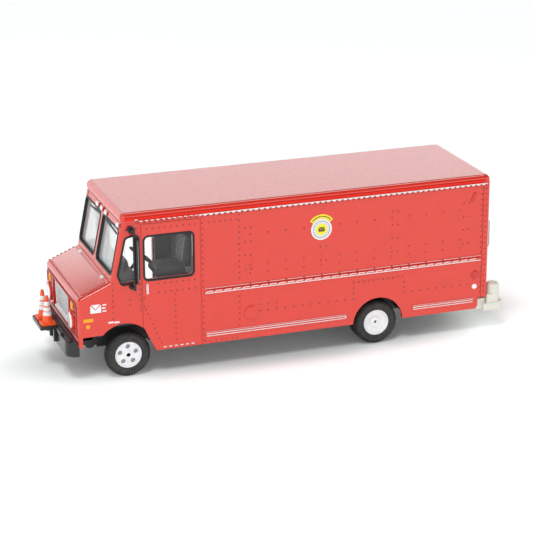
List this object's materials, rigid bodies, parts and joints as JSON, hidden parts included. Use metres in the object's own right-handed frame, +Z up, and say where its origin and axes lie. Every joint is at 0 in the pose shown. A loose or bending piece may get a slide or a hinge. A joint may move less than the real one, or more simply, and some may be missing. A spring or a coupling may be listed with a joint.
{
  "type": "scale model step van",
  "caption": "Scale model of a red forward-control delivery step van with turning axles, dual rear wheels, a front tray and lift-off traffic cones.",
  "frame": {"origin": "middle of the bounding box, on the ground under the truck", "axes": "+X forward, +Y to the truck's left, +Z up"},
  "size_m": [0.1384, 0.0432, 0.0485],
  "materials": {
    "body_paint": "gloss",
    "base_plastic": "satin",
    "bumper_plastic": "gloss",
    "trim_plastic": "satin",
    "cream_plastic": "satin",
    "interior_plastic": "matte",
    "clear_plastic": "gloss",
    "lamp_clear": "gloss",
    "lamp_amber": "gloss",
    "lamp_red": "gloss",
    "grille_plastic": "satin",
    "mirror_foil": "polished",
    "wheel_plastic": "gloss",
    "tyre_rubber": "matte",
    "steel": "brushed",
    "cone_plastic": "satin"
  },
  "bodies": {
    "truck": {"body_shell": "body_paint", "roof_cap": "body_paint", "rear_door": "body_paint", "chassis_base": "base_plastic", "chassis_screws": "steel", "drivetrain": "base_plastic", "rear_axle_case": "base_plastic", "exhaust_pipe": "base_plastic", "fuel_tank": "base_plastic", "cab_interior": "interior_plastic", "driver_seat": "interior_plastic", "steering_wheel": "trim_plastic", "windshield_glazing": "clear_plastic", "left_cab_glazing": "clear_plastic", "right_cab_glazing": "clear_plastic", "grille": "grille_plastic", "clearance_lamps": "lamp_clear", "left_headlamp": "lamp_clear", "right_headlamp": "lamp_clear", "left_turn_signal": "lamp_amber", "right_turn_signal": "lamp_amber", "left_tail_lamp": "lamp_red", "right_tail_lamp": "lamp_red", "left_mirror": "trim_plastic", "right_mirror": "trim_plastic", "left_mirror_glass": "mirror_foil", "right_mirror_glass": "mirror_foil", "left_wiper": "trim_plastic", "right_wiper": "trim_plastic", "front_bumper": "bumper_plastic", "rear_bumper": "cream_plastic", "cone_tray": "bumper_plastic"},
    "front_axle": {"front_axle_rod": "steel", "left_front_wheel": "wheel_plastic", "right_front_wheel": "wheel_plastic", "left_front_tyre": "tyre_rubber", "right_front_tyre": "tyre_rubber"},
    "rear_axle": {"rear_axle_rod": "steel", "left_rear_wheel": "wheel_plastic", "right_rear_wheel": "wheel_plastic", "left_rear_outer_tyre": "tyre_rubber", "right_rear_outer_tyre": "tyre_rubber", "left_rear_inner_tyre": "tyre_rubber", "right_rear_inner_tyre": "tyre_rubber"},
    "left_cone": {"left_traffic_cone": "cone_plastic"},
    "right_cone": {"right_traffic_cone": "cone_plastic"}
  },
  "joints": [
    {"name": "front_axle_spin", "type": "hinge", "parent": "truck", "child": "front_axle", "pos_m": [0.047, 0, 0.00657], "axis": [0, 1, 0], "continuous": true},
    {"name": "rear_axle_spin", "type": "hinge", "parent": "truck", "child": "rear_axle", "pos_m": [-0.0284, 0, 0.00657], "axis": [0, 1, 0], "continuous": true},
    {"name": "left_cone_lift", "type": "slide", "parent": "truck", "child": "left_cone", "axis": [0, 0, 1], "range_m": [0, 0.009]},
    {"name": "right_cone_lift", "type": "slide", "parent": "truck", "child": "right_cone", "axis": [0, 0, 1], "range_m": [0, 0.009]}
  ]
}
